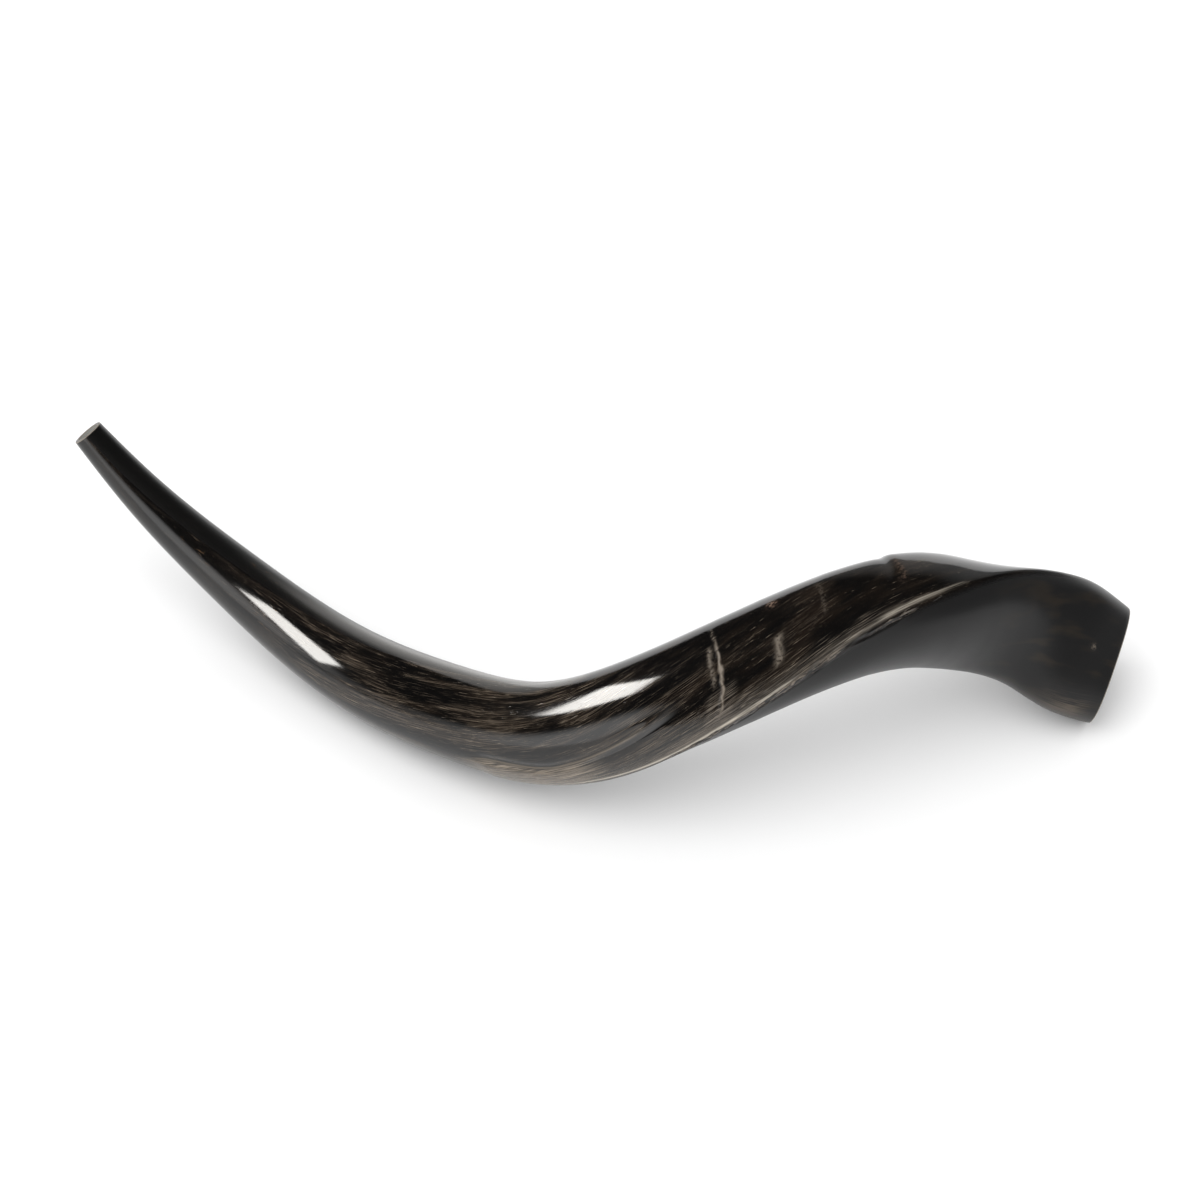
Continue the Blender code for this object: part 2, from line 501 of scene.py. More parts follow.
@dataclass(frozen=True)
class PolishedHorn:
    """The polished outside: near black, with fine fibres, growth marks and a worn pale keel."""

    black: Colour = (0.0030, 0.0027, 0.0026)
    brown: Colour = (0.0105, 0.0072, 0.0050)
    flank: Colour = (0.250, 0.204, 0.154)
    stain: Colour = (0.024, 0.019, 0.014)
    # Grey painted on the underside: a painted reflection of the floor.
    floor_reflection_grey: Colour = (0.0120, 0.0118, 0.0120)
    fibre: Colour = (0.135, 0.106, 0.079)
    fleck: Colour = (0.290, 0.235, 0.175)
    amber: Colour = (0.180, 0.085, 0.024)
    tan: Colour = (0.100, 0.084, 0.067)
    cream: Colour = (0.520, 0.470, 0.390)
    scar: Colour = (0.270, 0.225, 0.178)
    pink: Colour = (0.300, 0.200, 0.150)
    gloss: float = 0.09
    ior: float = 1.54
    satin_level: float = 0.22
    satin_start: Rise = Rise(400.0, 470.0)

    # Stretches along the horn, and angles around it.
    middle: Span = Span(215.0, 405.0, 70.0)
    amber_stretch: Span = Span(90.0, 190.0, 25.0)
    worn_start: Rise = Rise(330.0, 400.0)
    worn_end: Rise = Rise(640.0, 520.0)
    worn_width: Rise = Rise(430.0, 500.0, 44.0, 25.0)
    worn_taper: Rise = Rise(500.0, 590.0, 1.0, 0.5)
    flank_stretch: Span = Span(322.0, 366.0, 24.0)
    crease_highlight_stretch: Span = Span(322.0, 400.0, 15.0)
    crest_angle: Rise = Rise(345.0, 430.0, 13.0, 2.5)
    groove_shade_stretch: Span = Span(375.0, 470.0, 25.0)
    torn_stretch: Span = Span(430.0, 540.0, 30.0)
    torn_strip: Span = Span(-4.5, -0.5, 1.6)
    crest_start: Rise = Rise(330.0, 390.0)
    crest_end: Rise = Rise(620.0, 520.0)
    floor_reflection_start: Rise = Rise(430.0, 600.0)
    stain_start: Rise = Rise(600.0, 680.0)
    foot_arc: Span = Span(14.0, 30.0, 9.0)
    foot_rings: Span = Span(458.0, 470.0, 5.0)
    scar_mark: Arc = Arc(SCAR_RING, 0.9, 22.0, 98.0, 14.0)
    rough_mark: Arc = Arc(460.4, 1.5, 46.0, 76.0, 8.0)
    second_mark: Arc = Arc(499.0, 2.6, 24.0, 42.0, 6.0)
    faint_mark: Arc = Arc(526.5, 1.6, 40.0, 70.0, 8.0)
    flush_mark: Arc = Arc(572.0, 2.2, 30.0, 64.0, 8.0)
    blush: Mark = Mark(499.0, 84.0, 2.6, 6.0)
    corner: Mark = Mark(708.0, -146.0, 16.0, 16.0)
    nick: Mark = Mark(710.0, -74.0, 2.2, 3.2)

    # Heights of the fine relief in millimetres.
    hair_height: float = 0.009
    fine_height: float = 0.019
    dash_height: float = 0.02
    fray_height: float = 0.16
    rough_height: float = 0.12
    torn_height: float = 0.3

    def fibres(self, coat: Coat) -> tuple[Value, Value, Value]:
        """The dark ground with its fibres, flecks and amber spots.

        Args:
            coat: the skin's places and noises.

        Returns:
            The colour, where the fibres are brushed, and where the short dashes are.
        """
        tree, upper = coat.tree, 1.0 - coat.side
        seen = coat.along(*self.middle) * 0.74 + 0.26
        seen = seen * (1.0 - coat.side * 0.9) * (1.0 - coat.bell * 0.8)
        veil = tree.smooth(coat.patch, 0.44, 0.60)
        brush = tree.smooth(coat.fine, 0.47, 0.66) * veil * seen
        scratch = tree.smooth(coat.hair, 0.57, 0.67) * (0.3 + veil * 0.7) * seen
        spark = tree.smooth(coat.hair, 0.63, 0.70) * tree.smooth(coat.dash, 0.42, 0.56)
        spark = spark * (0.25 + veil * 0.75) * seen
        dashes = tree.smooth(coat.dash, 0.66, 0.75) * tree.smooth(coat.cloud, 0.44, 0.60)
        dashes = dashes * upper * (1.0 - coat.bell * 0.6) * coat.over(60.0, 330.0, 0.5, 1.0)
        browned = tree.smooth(coat.patch * 0.6 + coat.cloud * 0.4, 0.42, 0.66)
        browned = browned * (1.0 - coat.side * 0.8) * coat.over(110.0, 260.0, 0.25, 1.0)
        amber = coat.along(*self.amber_stretch)
        amber = amber * tree.smooth(coat.dash, 0.66, 0.72) * tree.smooth(coat.cloud, 0.54, 0.66)
        colour = tree.layered(
            self.black,
            (browned, self.brown),
            (brush * 0.50, self.fibre),
            (scratch * 0.60, self.fibre),
            (spark * 0.75, self.fleck),
            (dashes * 0.42, self.fleck),
            (amber * 0.55, self.amber),
        )
        return colour, brush, dashes

    def worn_keel(self, coat: Coat, colour: Value) -> tuple[Value, Edge]:
        """The pale band by the keel, the lip it starts with, and its crest and torn strip.

        Args:
            coat: the skin's places and noises.
            colour: the skin's colour so far.

        Returns:
            The new colour, and where each part of the worn edge is.
        """
        tree, keel = coat.tree, coat.keel
        lasting = coat.over(*self.worn_start) * coat.over(*self.worn_end)
        width = coat.over(*self.worn_width) * coat.over(*self.worn_taper)
        fade = tree.most(1.0 - tree.most(keel, 0.0) / width, 0.0)
        band = fade * (0.45 + fade * 0.55) * tree.smooth(keel, -3.0, 0.5) * lasting
        ragged = (coat.fine - 0.5) * 0.9 + (coat.hair - 0.5) * 1.1 + (coat.patch - 0.5) * 0.35
        frayed = tree.smooth(band + ragged, 0.20, 1.00) * lasting * tree.smooth(band, 0.0, 0.15)

        above_lip = keel - coat.over(*LIP_CREASE)
        flank = coat.along(*self.flank_stretch) * tree.smooth(above_lip, 2.0, -3.0)
        flank = flank * tree.smooth(keel, -4.0, 4.0)
        flank = flank * tree.smooth(coat.fine * 0.8 + coat.hair * 0.4, 0.46, 0.72)
        # Painted highlight: a pale line along the crease just above the lip.
        crease_highlight = tree.hump(above_lip, 1.5, 1.3) * coat.along(*self.crease_highlight_stretch)

        above_crest = keel - coat.over(*self.crest_angle)
        broken = tree.smooth(coat.patch + coat.fine * 0.8, 0.80, 1.02)
        crest = tree.hump(above_crest, 0.0, 1.3) * tree.most(broken, coat.over(470.0, 430.0))
        crest = crest * coat.over(*self.crest_start) * coat.over(*self.crest_end)
        # Painted shade: a dark line in the groove just below the crest.
        groove_shade = tree.hump(above_crest, -3.4, 1.4) * coat.along(*self.groove_shade_stretch)

        torn = coat.around(*self.torn_strip) * coat.along(*self.torn_stretch)
        dashes = tree.smooth(coat.dash + (coat.speck - 0.5) * 0.3, 0.54, 0.61)
        dashes = torn * dashes * tree.smooth(coat.cloud, 0.36, 0.50)

        colour = tree.layered(
            colour,
            (frayed * 0.66, self.tan),
            (frayed * tree.smooth(coat.hair, 0.54, 0.70) * 0.35, self.fleck),
            (flank * 0.90, self.flank),
            (crease_highlight * 0.35, self.fleck),
            (groove_shade * 0.7, self.black),
            (crest * 0.90, self.cream),
            (torn * tree.smooth(coat.fine, 0.40, 0.6) * 0.7, self.brown),
            (dashes * 0.75, self.scar),
        )
        return colour, Edge(frayed, flank, torn, dashes)

    def growth_marks(self, coat: Coat, colour: Value) -> tuple[Value, Value, Value]:
        """The crescent growth mark, the rough patch beside it, and the smaller marks toward the bell.

        Args:
            coat: the skin's places and noises.
            colour: the skin's colour so far.

        Returns:
            The new colour, where the marks are, and where the rough patch is.
        """
        tree, speck = coat.tree, coat.speck
        bent = coat.ring + (tree.noise(coat.plain, (0.14, 0.16, 0.16)) - 0.5) * 5.0
        scar = coat.arc(bent, self.scar_mark)
        scar = scar * tree.smooth(coat.cloud * 0.7 + coat.fine * 0.6, 0.48, 0.74)
        rough = coat.arc(bent + (coat.cloud - 0.5) * 6.0, self.rough_mark)
        rough = rough * tree.smooth(speck, 0.30, 0.60)
        foot = tree.between(bent, *self.foot_rings) * coat.around(*self.foot_arc)
        foot = foot * tree.smooth(coat.fine, 0.42, 0.62)
        second = coat.arc(bent, self.second_mark) * tree.smooth(speck, 0.26, 0.6)
        faint = coat.arc(bent, self.faint_mark) * tree.smooth(speck, 0.35, 0.65)
        marks = tree.most(scar * 0.85, rough * 0.50, second * 0.60, foot * 0.40, faint * 0.15)
        flush = coat.spot(self.blush) + coat.arc(bent, self.flush_mark) * 0.22
        flush = flush * tree.smooth(speck, 0.40, 0.60) * 0.6
        return tree.layered(colour, (marks * 0.85, self.scar), (flush, self.pink)), marks, rough

    def bell_end(self, coat: Coat, colour: Value) -> Value:
        """The underside painted grey as a reflection of the floor, and the bell's stains, pale corner and
        nick.

        Args:
            coat: the skin's places and noises.
            colour: the skin's colour so far.

        Returns:
            The new colour.
        """
        tree = coat.tree
        # Painted reflection: the underside toward the bell is lifted from black to grey, as the floor would
        # show in the polish.
        under = coat.side * coat.over(*self.floor_reflection_start)
        stained = under * coat.over(*self.stain_start)
        stained = stained * tree.smooth(coat.patch * 0.5 + coat.cloud * 0.5, 0.50, 0.62)
        corner = coat.spot(self.corner) * tree.smooth(coat.fine * 0.6 + coat.cloud * 0.6, 0.5, 0.75)
        nick = coat.spot(self.nick) * tree.smooth(coat.speck, 0.40, 0.60)
        return tree.layered(
            colour,
            (under * 0.9, self.floor_reflection_grey),
            (stained * 0.7, self.stain),
            (corner * 0.7, self.fibre),
            (nick * 0.35, self.scar),
        )

    def dress(self) -> bpy.types.Material:
        """Puts the finish together; its pattern is tied to the horn's own length and girth.

        Returns:
            The material.
        """
        material, tree = new_material("polished_horn")
        coat = Coat(tree)
        colour, brush, dashes = self.fibres(coat)
        colour, edge = self.worn_keel(coat, colour)
        colour, marks, rough = self.growth_marks(coat, colour)
        colour = self.bell_end(coat, colour)
        roughness = brush * 0.05 + edge.frayed * 0.25 + edge.flank * 0.2 + edge.torn * 0.2 + marks * 0.3
        roughness = self.gloss + roughness + (coat.cloud - 0.5) * 0.04 + coat.side * 0.22
        relief = coat.hair * self.hair_height + coat.fine * self.fine_height
        relief = relief + edge.frayed * coat.speck * self.fray_height + rough * self.rough_height
        bump = tree.bump(relief + edge.dashes * self.torn_height + dashes * self.dash_height)
        gloss = tree.principled(colour, roughness, Normal=bump, IOR=self.ior)
        satin = tree.principled(
            colour, roughness, Normal=bump, IOR=self.ior, Specular_IOR_Level=self.satin_level
        )
        dull = coat.side * coat.over(*self.satin_start)
        shader = tree.node("ShaderNodeMixShader", {0: dull, 1: gloss, 2: satin})
        tree.surface(shader)
        return material


@dataclass(frozen=True)
class SawnHorn:
    """The sawn and buffed end faces: the horn's layers as thin rings, and painted highlights on both edges.
    """

    dark: Colour = (0.018, 0.013, 0.010)
    pale: Colour = (0.330, 0.290, 0.240)
    ior: float = 1.54

    def dress(self) -> bpy.types.Material:
        """Puts the finish together.

        Returns:
            The material.
        """
        material, tree = new_material("sawn_horn")
        grain = tree.attribute("grain", "Vector")
        depth = tree.attribute("depth")
        cloud = tree.noise(grain, (0.1, 0.25, 0.25))
        layer = tree.noise(tree.joined(depth * 9.0, cloud * 1.5, 0.0))
        # Painted highlight: a pale band along the outer and the inner edge of each cut face.
        edge_highlights = tree.smooth(depth, 0.14, 0.0) + tree.smooth(depth, 0.92, 1.0)
        colour = tree.mix(tree.smooth(layer, 0.45, 0.7) * 0.22 + edge_highlights * 0.6, self.dark, self.pale)
        bump = tree.bump(layer * 0.05)
        shader = tree.principled(colour, 0.24 + layer * 0.2, Normal=bump, IOR=self.ior)
        tree.surface(shader)
        return material


@dataclass(frozen=True)
class BareBore:
    """The inside: dull brown horn with lengthwise ridges, and a buffed pale mouth cup that darkens deeper
    in.
    """

    dark: Colour = (0.020, 0.014, 0.010)
    light: Colour = (0.090, 0.066, 0.045)
    cup: Colour = (0.300, 0.300, 0.280)
    cup_fade_and_shade: float = 9.6
    ior: float = 1.5

    def dress(self) -> bpy.types.Material:
        """Puts the finish together.

        Returns:
            The material.
        """
        material, tree = new_material("bare_bore")
        grain = tree.attribute("grain", "Vector")
        travel = tree.split(grain)[0]
        lines = tree.noise(grain, (0.03, 0.7, 0.7), 4.0, 0.6)
        cloud = tree.noise(grain, (0.04, 0.1, 0.1), 3.0)
        # The pale buffed cup fades into the dark bore; the fade also stands for the shade deeper in the
        # hole, so it is partly painted shade.
        cup = tree.smooth(travel, self.cup_fade_and_shade, 0.0)
        colour = tree.mix(tree.smooth(lines * 0.6 + cloud * 0.5, 0.45, 0.75), self.dark, self.light)
        colour = tree.mix(cup * 0.8, colour, self.cup)
        bump = tree.bump(lines * 0.25 + cloud * 0.3)
        shader = tree.principled(colour, 0.55 - cup * 0.3, Normal=bump, IOR=self.ior)
        tree.surface(shader)
        return material


# ---- the horn


class Row(NamedTuple):
    """One ring of points, by its place along the horn and its depth from the skin (0) to the bore (1).

    The inset draws it in toward the centre line, and the setback moves it back from the saw cut.
    """

    fraction: float
    depth: float
    inset: float
    setback: float
    region: Region


@dataclass
class Horn:
    """The whole horn as one closed skin over a table of rows."""

    pose: RestingPose = field(default_factory=RestingPose)
    # Each face of the bell's section: its direction from the keel, and its distance over the radius.
    faces: tuple[tuple[float, float], ...] = ((-86.0, 0.807), (45.6, 0.852), (122.9, 0.656))
    corner_ratio: float = 1.08
    facet_power: float = 5.0
    keel_spread_over: float = 24.0
    keel_spread_under: float = 14.0
    keel_round: float = 3.0
    cut_start: float = 0.80
    cut_front: float = -0.37
    cut_up: float = -0.11
    bell_wall: float = 3.6
    bore_radius: float = 4.2
    cup_radius: float = 7.2
    cup_depth: float = 15.0
    cup_fall: float = 1.5
    hollow_start: float = 0.12
    hollow_full: float = 0.52
    edge: float = 0.6
    cup_span: float = 0.022
    weld: float = 2e-6
    line_steps: int = 2001
    skin_rows: int = 440
    bore_rows: int = 44
    cup_rows: int = 10
    cut_rows: int = 5
    edge_rows: int = 4
    around: int = 172
    crowding: float = 1.4
    grain_radius: float = 25.0
    # The skin's relief: heights, and where each feature is.
    wave_height: float = 0.35
    wave_stretch: Span = Span(470.0, 640.0, 60.0)
    step_height: float = 1.1
    step_arc: Span = Span(30.0, 130.0, 25.0)
    step_start: Rise = Rise(STEP_RING, STEP_RING + 7.0)
    step_end: Rise = Rise(640.0, 585.0)
    scar_arc: Span = Span(18.0, 92.0, 18.0)
    torn_depth: float = 0.8
    torn_strip: Span = Span(-5.0, 1.0, 3.0)
    torn_stretch: Span = Span(430.0, 560.0, 40.0)
    lip_depth: float = 1.1
    lip_start: Rise = Rise(312.0, 322.0)
    lip_end: Rise = Rise(440.0, 390.0)

    def rows(self) -> list[Row]:
        """Lays the rows out.

        Returns:
            The skin, the bell's cut, the bore from the bell back, and the mouth's cut.
        """
        skin = np.linspace(0.0, 1.0, self.skin_rows)
        turns = [math.pi / 2 * k / self.edge_rows for k in range(1, self.edge_rows + 1)]
        rows = [Row(f, 0.0, 0.0, self.edge if f in (0.0, 1.0) else 0.0, Region.SKIN) for f in skin]
        for end in (1.0, 0.0):
            over, into = [], []
            for turn in turns:
                away, down = self.edge * (1 - math.cos(turn)), self.edge * (1 - math.sin(turn))
                over.append(Row(end, 0.0, away, down, Region.CUT))
                into.append(Row(end, 1.0, -down, away, Region.CUT))
            flat = [Row(end, k / self.cut_rows, 0.0, 0.0, Region.CUT) for k in range(1, self.cut_rows)]
            if end == 1.0:
                deep = np.linspace(1.0, self.cup_span, self.bore_rows)[1:-1]
                cup = np.linspace(self.cup_span, 0.0, self.cup_rows)[:-1]
                rows += over + flat + into
                rows += [Row(f, 1.0, 0.0, 0.0, Region.BORE) for f in (*deep, *cup)]
            else:
                rows += (over + flat + into)[::-1]
        return rows

    def stations(self) -> bpy.types.Object:
        """Works out the centre line and the section at each row.

        Returns:
            A point for each row, which carries what the sweep needs there as attributes.
        """
        knots = np.array(KNOTS)
        knots[:, 1] *= -1.0
        fine = np.linspace(0.0, 1.0, self.line_steps)
        line = natural_spline(knots, fine)[:, :3]
        length = np.linalg.norm(np.diff(line, axis=0), axis=1).sum()
        slopes = np.gradient(line, axis=0)
        rows = self.rows()
        fractions = np.array([row.fraction for row in rows])
        station = natural_spline(knots, fractions)
        along = np.stack([np.interp(fractions, fine, slopes[:, k]) for k in range(3)], axis=1)
        along /= np.linalg.norm(along, axis=1)[:, None]
        front = np.array([0.0, -1.0, 0.0])
        front = front - (along @ front)[:, None] * along
        front /= np.linalg.norm(front, axis=1)[:, None]
        up = np.cross(front, along)
        # The rows of the edges and cuts step back from the cut along the centre line.
        back = np.array([row.setback * (1.0 if row.fraction < 0.5 else -1.0) for row in rows])
        centre = station[:, :3] + back[:, None] * along
        opening = self.hollow_full - self.hollow_start
        into = np.clip((fractions - self.hollow_start) / opening, 0.0, 1.0)
        cup = np.clip(1.0 - fractions * length / self.cup_depth, 0.0, 1.0) ** self.cup_fall
        turn = np.array(self.pose.turn())
        mesh = bpy.data.meshes.new("horn_stations")
        place = (centre @ turn.T + np.array(self.pose.shift)) * MM
        mesh.from_pydata([tuple(p) for p in place], [], [])
        numbers = {
            "travel": fractions * length,
            "radius": station[:, 3],
            "keel_angle": np.radians(station[:, 4]),
            "keel_height": np.maximum(station[:, 5], 0.0),
            "facet": np.maximum(station[:, 6], 0.0),
            "lean": np.clip((fractions - self.cut_start) / (1.0 - self.cut_start), 0.0, 1.0) ** 2,
            "pipe": self.bore_radius + (self.cup_radius - self.bore_radius) * cup,
            "hollow": into ** 2 * (3.0 - 2.0 * into),
            "depth": np.array([row.depth for row in rows]),
            "inset": np.array([row.inset for row in rows]),
            "region": np.array([float(row.region.value) for row in rows]),
        }
        for name, values in numbers.items():
            stored = mesh.attributes.new(name, "FLOAT", "POINT")
            stored.data.foreach_set("value", values.astype(np.float32))
        for name, values in {"front": front, "up": up, "along": along}.items():
            turned = (values @ turn.T).astype(np.float32).ravel()
            stored = mesh.attributes.new(name, "FLOAT_VECTOR", "POINT")
            stored.data.foreach_set("vector", turned)
        return new_object("horn", mesh)

    def relief(self, tree: Tree, travel: Value, ring: Value, keel: Value, grain: Value) -> Value:
        """How far the polished skin stands out, in millimetres.

        Args:
            tree: the tree to add nodes to.
            travel: distance along the horn.
            ring: the same, measured along the growth rings.
            keel: angle from the keel in degrees.
            grain: position on the unrolled horn.

        Returns:
            The height of the growth waves, the step, the scar, the torn strip and the keel's lip.
        """
        waves = tree.noise(tree.joined(ring * 0.05, keel * 0.004, 0.0), detail=1.0) - 0.5
        waves = waves * tree.between(travel, *self.wave_stretch) * self.wave_height
        step = tree.smooth(ring, *self.step_start) * tree.smooth(ring, *self.step_end)
        step = step * self.step_height - tree.hump(ring, STEP_RING, 3.2) * 0.28
        step = step * tree.between(keel, *self.step_arc)
        bent = ring + (tree.noise(grain, (0.2, 0.22, 0.22)) - 0.5) * 4.0
        scar = tree.hump(bent, SCAR_RING, 1.5) * 0.45 - tree.hump(bent, SCAR_RING - 2.6, 1.0) * 0.4
        scar = scar * tree.between(keel, *self.scar_arc)
        strip = tree.noise(grain, (0.12, 0.7, 0.7), 3.0, 0.6)
        torn = tree.between(keel, *self.torn_strip) * tree.between(travel, *self.torn_stretch)
        torn = torn * tree.smooth(strip, 0.45, 0.62) * -self.torn_depth
        above_lip = keel - tree.smooth(travel, *LIP_CREASE)
        lip = tree.hump(above_lip, 4.0, 6.0) * -self.lip_depth
        lip = lip + tree.smooth(above_lip, -0.5, -4.5) * tree.smooth(keel, -6.0, 12.0)
        lip = lip * tree.smooth(travel, *self.lip_start) * tree.smooth(travel, *self.lip_end)
        return waves + step + scar + torn + lip

    def sweep(
        self, skin: bpy.types.Material, cut: bpy.types.Material, bore: bpy.types.Material
    ) -> bpy.types.NodeTree:
        """The node tree that turns the stations into the closed skin.

        Args:
            skin: finish of the outside.
            cut: finish of the sawn ends.
            bore: finish of the inside.

        Returns:
            The tree, with its sizes as named inputs.
        """
        nodes = bpy.data.node_groups.new("horn_sweep", "GeometryNodeTree")
        sockets = nodes.interface
        sockets.new_socket("Stations", in_out="INPUT", socket_type="NodeSocketGeometry")
        for name in self.inputs():
            sockets.new_socket(name, in_out="INPUT", socket_type="NodeSocketFloat")
        for name in ("Rows", "Around"):
            sockets.new_socket(name, in_out="INPUT", socket_type="NodeSocketInt")
        sockets.new_socket("Skin", in_out="OUTPUT", socket_type="NodeSocketGeometry")
        tree = Tree(nodes)
        given = tree.node("NodeGroupInput").socket.node.outputs
        size = {socket.name: Value(tree, socket) for socket in given if socket.name}
        # One more column and row than the rings and the stations have: they close the skin.
        columns, rows = size["Around"] + 1.0, size["Rows"] + 1.0
        grid = {"Vertices X": rows, "Vertices Y": columns, "Size X": 1.0, "Size Y": 1.0}
        mesh = tree.node("GeometryNodeMeshGrid", grid, out="Mesh")
        index = tree.node("GeometryNodeInputIndex")
        row = tree.maths("FLOOR", (index + 0.5) / columns)
        column = index - row * columns
        station = tree.maths("FLOORED_MODULO", row, size["Rows"])

        def named(name: str, kind: str = "FLOAT") -> Value:
            """An attribute of the mesh, by its name."""
            given = {"Name": name}
            return tree.node("GeometryNodeInputNamedAttribute", given, "Attribute", data_type=kind)

        def sample(value: Value, kind: str) -> Value:
            """A value at the station of this row."""
            sockets = {"Geometry": size["Stations"], "Value": value, "Index": station}
            return tree.node("GeometryNodeSampleIndex", sockets, out="Value", data_type=kind)

        def read(name: str, kind: str = "FLOAT") -> Value:
            """What the station of this row carries under a name."""
            return sample(named(name, kind), kind)

        def change(mesh: Value, kind: str, inputs: dict, **settings: Any) -> Value:
            """A node that changes the mesh."""
            return tree.node(kind, {"Geometry": mesh, **inputs}, out="Geometry", **settings)

        spot = column * 2.0 / size["Around"] - 1.0
        keel = tree.maths("SIGN", spot) * tree.maths("POWER", abs(spot), size["Crowding"]) * 180.0
        angle = keel * (math.pi / 180.0)
        total: Number = self.corner_ratio ** -self.facet_power
        for face, distance in self.faces:
            toward = tree.maths("MAXIMUM", tree.maths("COSINE", angle - math.radians(face)), 0.0)
            total = (toward / distance) ** self.facet_power + total
        faceted = total ** (-1.0 / self.facet_power)
        facet = read("facet")
        plain = read("radius") * (1.0 - facet + facet * faceted)
        blunt = size["Keel round"]
        away = tree.maths("SQRT", keel * keel + blunt * blunt) - blunt
        over = keel > 0.0
        spread = size["Keel spread over"] * over + size["Keel spread under"] * (1.0 - over)
        crest = tree.maths("EXPONENT", -(away / spread)) * read("keel_height")
        travel = read("travel")
        ring = travel + tree.maths("EXPONENT", abs(keel) * (-1.0 / RING_SPREAD)) * RING_LEAD
        grain = tree.joined(
            travel,
            tree.maths("COSINE", angle) * self.grain_radius,
            tree.maths("SINE", angle) * self.grain_radius,
        )
        outside = plain + crest + self.relief(tree, travel, ring, keel, grain)
        hollow = read("hollow")
        inside = read("pipe") * (1.0 - hollow) + (plain - size["Bell wall"]) * hollow
        depth = read("depth")
        reach = outside * (1.0 - depth) + inside * depth - read("inset")
        to_front = reach * tree.maths("COSINE", read("keel_angle") + angle)
        to_up = reach * tree.maths("SINE", read("keel_angle") + angle)
        slide = read("lean") * (to_front * size["Cut front"] + to_up * size["Cut up"])
        centre = sample(tree.node("GeometryNodeInputPosition"), "FLOAT_VECTOR")
        offset = tree.scaled(read("front", "FLOAT_VECTOR"), to_front)
        offset = tree.vector_maths("ADD", offset, tree.scaled(read("up", "FLOAT_VECTOR"), to_up))
        offset = tree.vector_maths("ADD", offset, tree.scaled(read("along", "FLOAT_VECTOR"), slide))
        place = tree.vector_maths("ADD", centre, tree.scaled(offset, MM))
        for name, value, kind in (
            ("grain", grain, "FLOAT_VECTOR"),
            ("ring", ring, "FLOAT"),
            ("depth", depth, "FLOAT"),
            ("region", read("region"), "FLOAT"),
        ):
            store = {"Name": name, "Value": value}
            mesh = change(mesh, "GeometryNodeStoreNamedAttribute", store, data_type=kind)
        mesh = change(mesh, "GeometryNodeSetPosition", {"Position": place})
        mesh = change(mesh, "GeometryNodeMergeByDistance", {"Distance": self.weld})
        mesh = change(mesh, "GeometryNodeSetShadeSmooth", {"Shade Smooth": True})
        mesh = change(mesh, "GeometryNodeRealizeInstances", {})
        # A face's region is the mean of its corners' and takes the later finish past this point.
        region, lag = named("region"), 0.7
        is_cut, is_bore = region > Region.CUT.value - lag, region > Region.BORE.value - lag
        for chosen, material in ((None, skin), (is_cut, cut), (is_bore, bore)):
            mesh = change(mesh, "GeometryNodeSetMaterial", {"Selection": chosen, "Material": material})
        tree.node("NodeGroupOutput", {0: mesh})
        return nodes

    def inputs(self) -> dict[str, float]:
        """The named sizes of the sweep."""
        return {
            "Crowding": self.crowding,
            "Keel round": self.keel_round,
            "Keel spread over": self.keel_spread_over,
            "Keel spread under": self.keel_spread_under,
            "Bell wall": self.bell_wall,
            "Cut front": self.cut_front,
            "Cut up": self.cut_up,
        }

    def build(self) -> bpy.types.Object:
        """Sweeps the stations and makes the result a plain mesh.

        Returns:
            The horn, which stands for the CAD solid.
        """
        guide = self.stations()
        nodes = self.sweep(PolishedHorn().dress(), SawnHorn().dress(), BareBore().dress())
        modifier = guide.modifiers.new("sweep", "NODES")
        modifier.node_group = nodes
        values = {**self.inputs(), "Rows": len(guide.data.vertices), "Around": self.around}
        for item in nodes.interface.items_tree:
            if item.in_out == "INPUT" and item.name in values:
                modifier[item.identifier] = values[item.name]
        bpy.context.view_layer.update()
        evaluated = guide.evaluated_get(bpy.context.evaluated_depsgraph_get())
        mesh = bpy.data.meshes.new_from_object(evaluated)
        mesh.name = "horn_skin"
        bpy.data.objects.remove(guide)
        horn = new_object("horn_body", mesh)
        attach(horn, "root")
        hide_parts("horn")
        return horn


# ---- the studio


class Softbox(NamedTuple):
    """One soft light in the horn's own frame, in metres.

    It has its middle, a point that it faces, its turn about that line in radians, and its size. The
    cone is the angle in degrees that its light is kept to.
    """

    name: str
    place: tuple[float, float, float]
    toward: tuple[float, float, float]
    turn: float
    width: float
    height: float
    brightness: float
    cone: float = 180.0

    def facing(self, pose: RestingPose) -> Matrix:
        """Turns the light to what it faces.

        Args:
            pose: how the horn lies.

        Returns:
            Its place and turn in the frame in which the horn lies.
        """
        away = (Vector(self.place) - Vector(self.toward)).normalized()
        side = (-away).cross(Vector((0.0, 0.0, 1.0))).normalized()
        rise = (-away).cross(side)
        across = math.cos(self.turn) * side + math.sin(self.turn) * rise
        axes = Matrix((across, away.cross(across), away)).transposed()
        return Matrix.Translation(pose.place(self.place)) @ (pose.turn() @ axes).to_4x4()


class Glow(NamedTuple):
    """A bright patch of the room that the polish mirrors: its direction, its reach and its strength.

    The angles are degrees. It is full within the inner one and gone at the outer one.
    """

    azimuth: float
    elevation: float
    inner: float
    outer: float
    strength: float

    def direction(self) -> tuple[float, float, float]:
        """The unit vector toward it; azimuth 0 is straight behind the horn."""
        a, e = math.radians(self.azimuth), math.radians(self.elevation)
        return (math.sin(a) * math.cos(e), math.cos(a) * math.cos(e), math.sin(e))


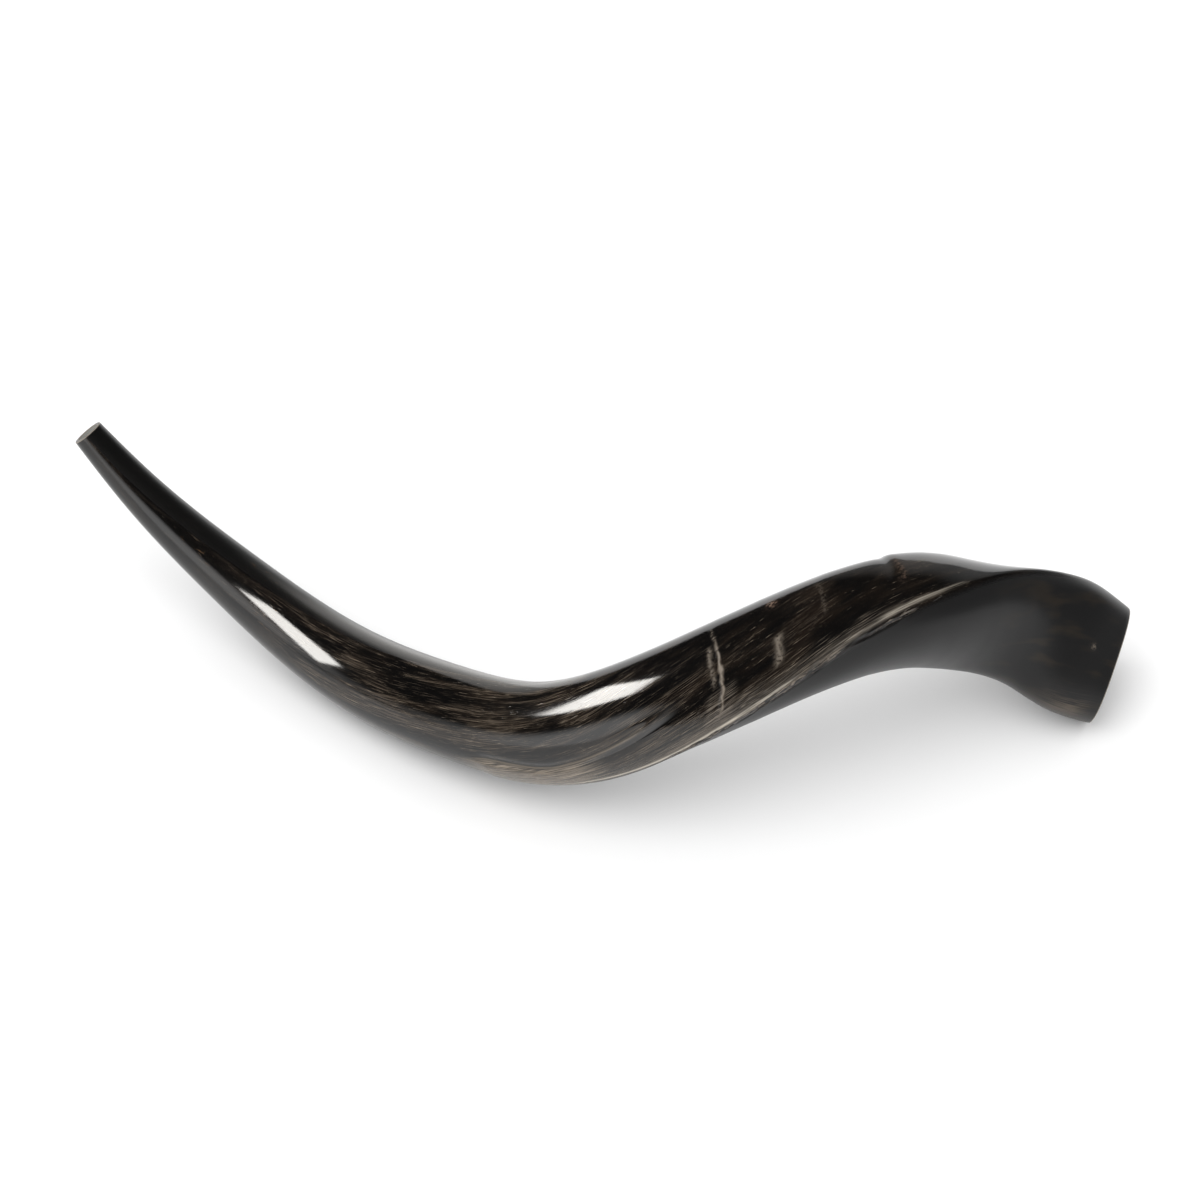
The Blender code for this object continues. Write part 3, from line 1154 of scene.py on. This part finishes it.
@dataclass
class Studio:
    """A white floor, soft lights and the camera, set by how the horn lies."""

    pose: RestingPose = field(default_factory=RestingPose)
    camera_distance: float = 2.4
    lens: float = 120.0
    sensor: float = 36.0
    floor_size: float = 14.0
    floor_colour: Colour = (0.86, 0.86, 0.86)
    dark_side: float = 0.018
    warm: Colour = (1.0, 0.975, 0.935)
    ambient: float = 1.0
    sun_energy: float = 1.3
    sun_spread: float = 50.0
    sun_turn: tuple[float, float] = (14.0, -16.0)
    lights: tuple[Softbox, ...] = (
        Softbox("key", (-0.2244, -0.0896, -0.0123), (-0.2657, 0.2056, 0.0925), -0.52, 0.0395, 0.0713, 18.5),
        Softbox("near", (-0.1345, -0.2039, 0.0805), (0.0346, -0.2897, 0.0645), 2.56, 0.1986, 0.0876, 18.5),
        Softbox("bend", (-0.0624, 0.0164, 0.0029), (-0.1309, 0.0009, -0.0448), 0.68, 0.21, 0.22, 1.7, 153.0),
    )
    glows: tuple[Glow, ...] = (
        Glow(18.0, -2.0, 10.0, 36.0, 0.30),
        Glow(-144.0, 12.0, 8.0, 27.0, 2.0),
    )

    def floor(self) -> None:
        """Adds the plain white floor."""
        half = self.floor_size / 2
        mesh = bpy.data.meshes.new("floor")
        corners = [(-half, -half, 0), (half, -half, 0), (half, half, 0), (-half, half, 0)]
        mesh.from_pydata(corners, [], [(0, 1, 2, 3)])
        material, tree = new_material("white_floor")
        shader = tree.principled(self.floor_colour, 0.9, Specular_IOR_Level=0.1)
        tree.surface(shader)
        mesh.materials.append(material)
        new_object("floor", mesh)

    def light(self, box: Softbox) -> None:
        """Adds one soft light.

        Args:
            box: its place, size and brightness.
        """
        data = bpy.data.lights.new(box.name, "AREA")
        data.shape = "RECTANGLE"
        data.size, data.size_y = box.width, box.height
        data.energy = box.brightness * math.pi * box.width * box.height
        data.color = self.warm
        data.spread = math.radians(box.cone)
        light = new_object(box.name, data)
        light.matrix_world = box.facing(self.pose)
        light.visible_camera = False
        light.visible_diffuse = False

    def sky(self) -> None:
        """A broad overhead light that the polish doesn't mirror, and the room with its dark side."""
        data = bpy.data.lights.new("overhead", "SUN")
        data.energy = self.sun_energy
        data.angle = math.radians(self.sun_spread)
        sun = new_object("overhead", data)
        sun.rotation_euler = (*map(math.radians, self.sun_turn), 0.0)
        sun.visible_glossy = False
        world = bpy.data.worlds.new("room")
        world.use_nodes = True
        bpy.context.scene.world = world
        tree = Tree(world.node_tree)
        toward = tree.node("ShaderNodeTexCoord", out="Generated")
        lit: Number = self.dark_side
        for glow in self.glows:
            sockets = {0: toward, 1: glow.direction()}
            near = tree.node("ShaderNodeVectorMath", sockets, out="Value", operation="DOT_PRODUCT")
            outer, inner = math.cos(math.radians(glow.outer)), math.cos(math.radians(glow.inner))
            lit = tree.smooth(near, outer, inner) * glow.strength + lit
        mirrored = tree.node("ShaderNodeLightPath", out="Is Glossy Ray")
        strength = mirrored * lit + (1.0 - mirrored) * self.ambient
        sockets = {"Color": (1.0, 1.0, 1.0, 1.0), "Strength": strength}
        background = tree.node("ShaderNodeBackground", sockets, out="Background")
        tree.node("ShaderNodeOutputWorld", {"Surface": background})

    def camera(self) -> None:
        """Adds the camera in front of the horn, looking level in the horn's own frame."""
        data = bpy.data.cameras.new("camera")
        data.lens, data.sensor_width = self.lens, self.sensor
        camera = new_object("camera", data)
        facing = self.pose.turn() @ Matrix.Rotation(math.pi / 2, 3, "X")
        place = self.pose.place((0.0, -self.camera_distance, 0.0))
        camera.matrix_world = Matrix.Translation(place) @ facing.to_4x4()
        bpy.context.scene.camera = camera

    def build(self) -> None:
        """Adds everything that isn't the horn."""
        self.floor()
        for box in self.lights:
            self.light(box)
        self.sky()
        self.camera()
        bpy.context.scene.view_settings.view_transform = "Standard"


def main() -> None:
    """Builds the studio and the horn."""
    logging.basicConfig(level=logging.INFO)
    Studio().build()
    horn = Horn().build()
    LOG.info("%s: %d faces", horn.name, len(horn.data.polygons))


if __name__ == "__main__":
    main()
